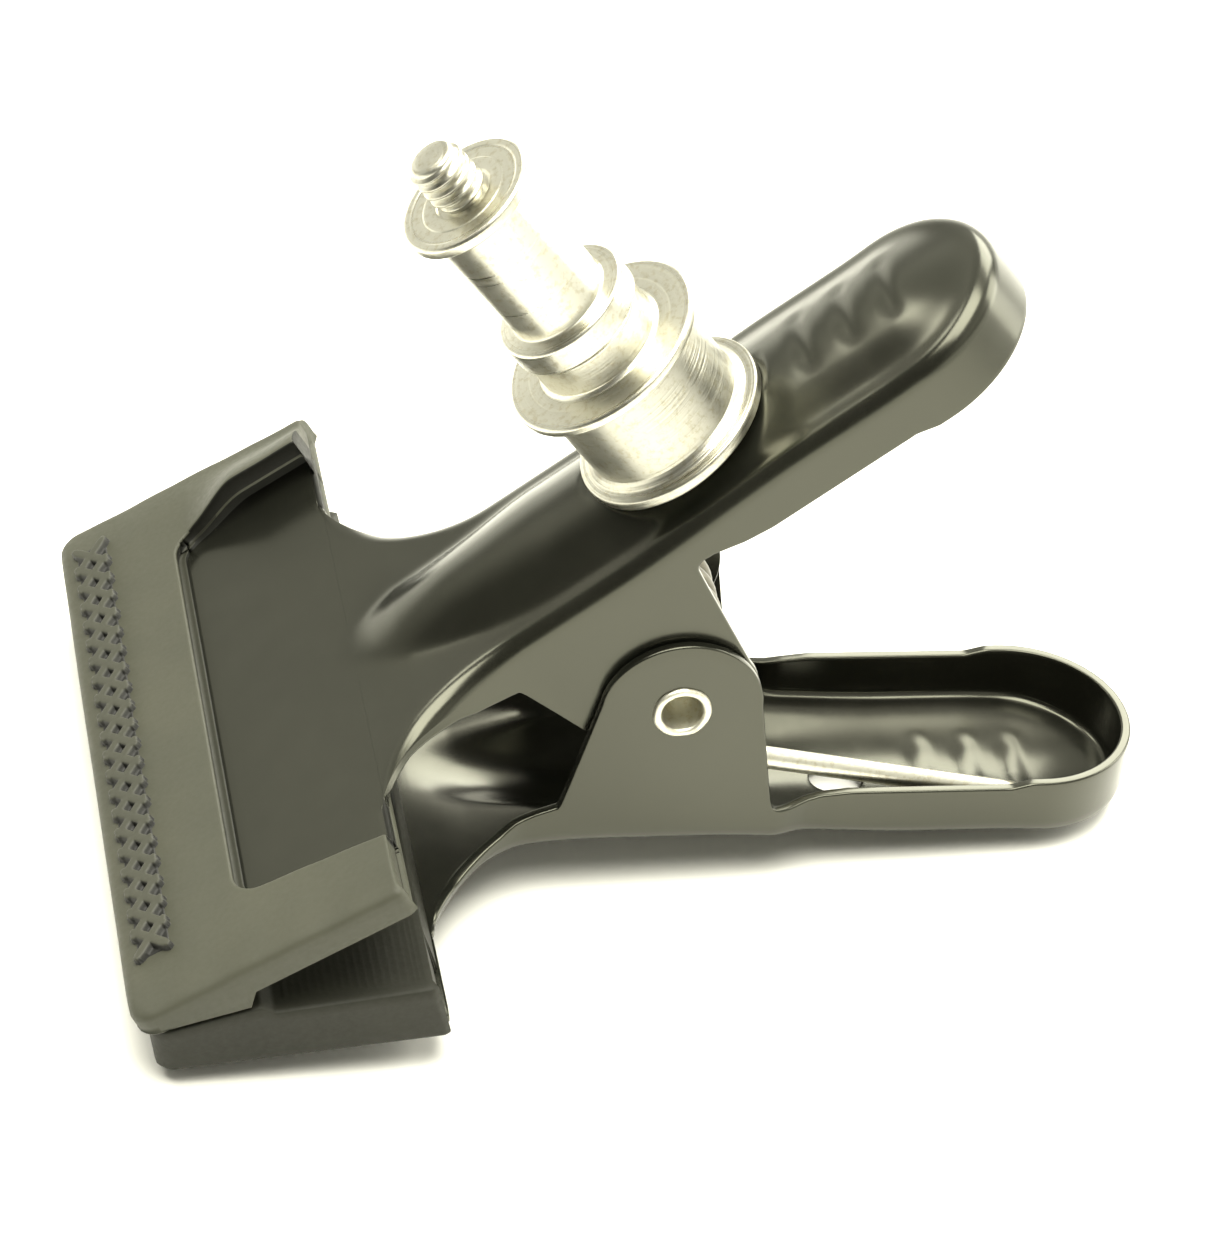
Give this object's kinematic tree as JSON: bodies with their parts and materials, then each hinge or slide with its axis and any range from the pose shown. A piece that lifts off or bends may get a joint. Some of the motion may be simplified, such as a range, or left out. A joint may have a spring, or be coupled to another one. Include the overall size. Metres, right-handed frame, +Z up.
{
  "type": "spring clamp",
  "caption": "Spring clamp of pressed steel with wide rubber-booted jaws, channel handles sprung apart about a tubular rivet, and a lighting spigot on the upper handle.",
  "frame": {"origin": "centre of the bounding box in plan, on the surface the clamp lies on", "axes": "+X from the jaws to the handle ends, +Y along the pivot away from the rivet's rolled rim, +Z up with the clamp lying on its lower lever"},
  "size_m": [0.1226, 0.0872, 0.094],
  "materials": {
    "black_paint": "satin black enamel",
    "rubber": "matte moulded rubber",
    "nickel": "bright nickel with turning marks",
    "spring_steel": "bright plated wire",
    "zinc": "plated rivet"
  },
  "bodies": {
    "lower": {"lower_lever": "black_paint", "lower_jaw_boot": "rubber", "pivot_rivet": "zinc", "torsion_spring": "spring_steel"},
    "upper": {"upper_lever": "black_paint", "upper_jaw_boot": "rubber", "spigot_base": "nickel", "spigot": "nickel", "spigot_screw": "zinc"}
  },
  "joints": [
    {"name": "jaw_hinge", "type": "hinge", "parent": "lower", "child": "upper", "pos_m": [0.00364, 0, 0.02579], "axis": [0, 1, 0], "range_deg": [0, 58], "stiffness_Nm_per_rad": 1.8, "springref_deg": -60.16, "deforming": ["torsion_spring"]}
  ]
}
